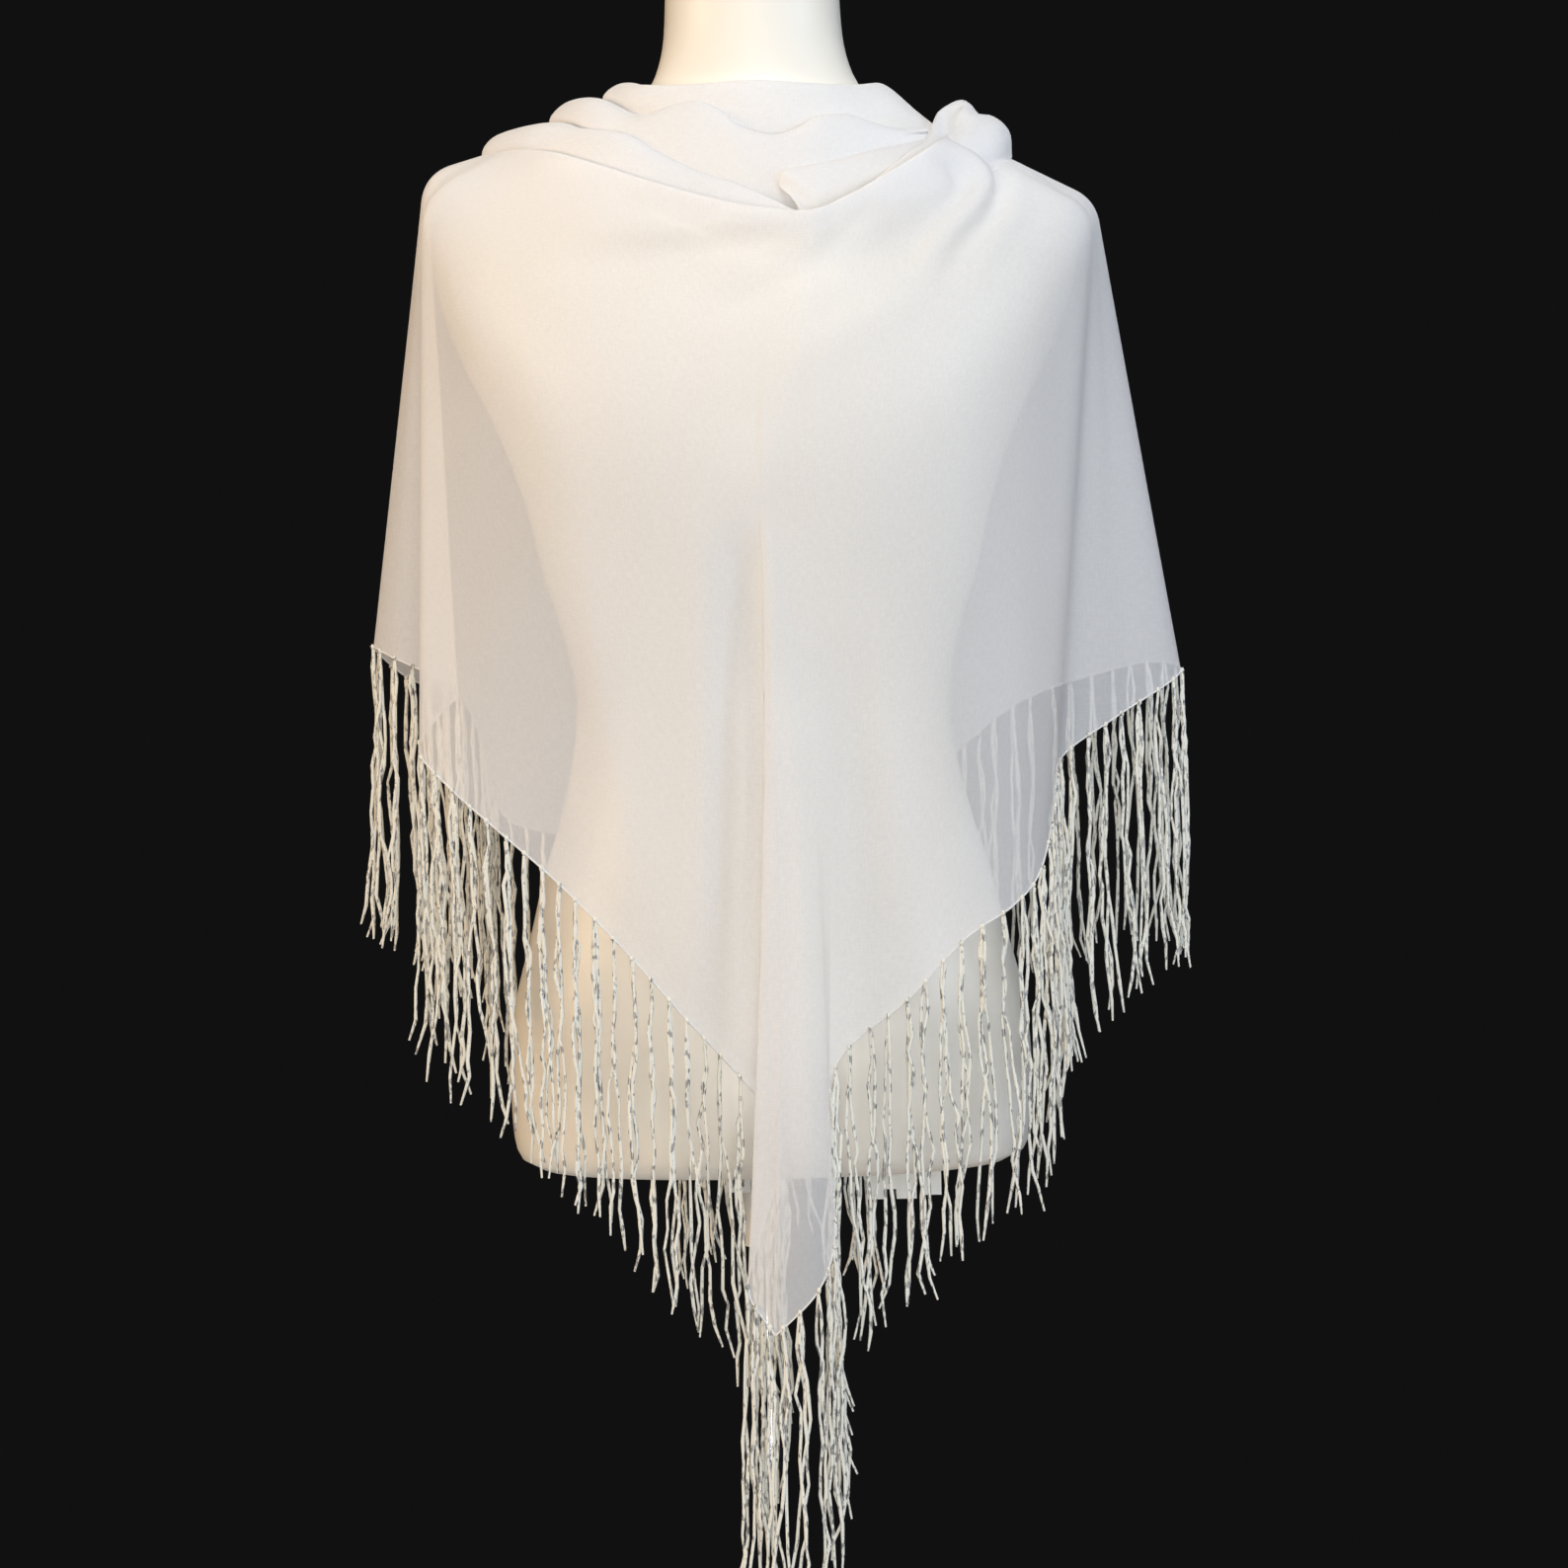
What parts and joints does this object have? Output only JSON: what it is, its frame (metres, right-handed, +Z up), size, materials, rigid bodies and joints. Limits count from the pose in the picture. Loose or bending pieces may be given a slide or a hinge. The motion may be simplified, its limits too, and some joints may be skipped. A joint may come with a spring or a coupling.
{
  "type": "chiffon shawl on a limbless dress form",
  "caption": "Triangular chiffon shawl with a knotted fringe, draped as a cowl over a limbless dress form on a round-based pole.",
  "frame": {"origin": "centre of the underside of the stand's round base", "axes": "+Z up along the pole, -Y the way the shawl's point and the form's chest face, +X to the right in a view from the front"},
  "size_m": [0.4971, 0.3296, 1.325],
  "materials": {
    "chiffon": "semi-sheer, matt",
    "fringe_yarn": "crimped yarn with a metallic fleck",
    "form_gloss": "gloss",
    "bracket_plastic": "satin",
    "chrome": "polished"
  },
  "bodies": {
    "root": {"shawl_front": "chiffon", "shawl_wing_left": "chiffon", "shawl_wing_right": "chiffon", "cowl_outer": "chiffon", "cowl_inner": "chiffon", "cowl_collar": "chiffon", "cowl_bunch": "chiffon", "fringe_front_left": "fringe_yarn", "fringe_front_right": "fringe_yarn", "fringe_wing_left": "fringe_yarn", "fringe_wing_right": "fringe_yarn", "dress_form": "form_gloss", "form_bracket": "bracket_plastic", "stand_pole": "chrome", "stand_base": "chrome"}
  },
  "joints": []
}
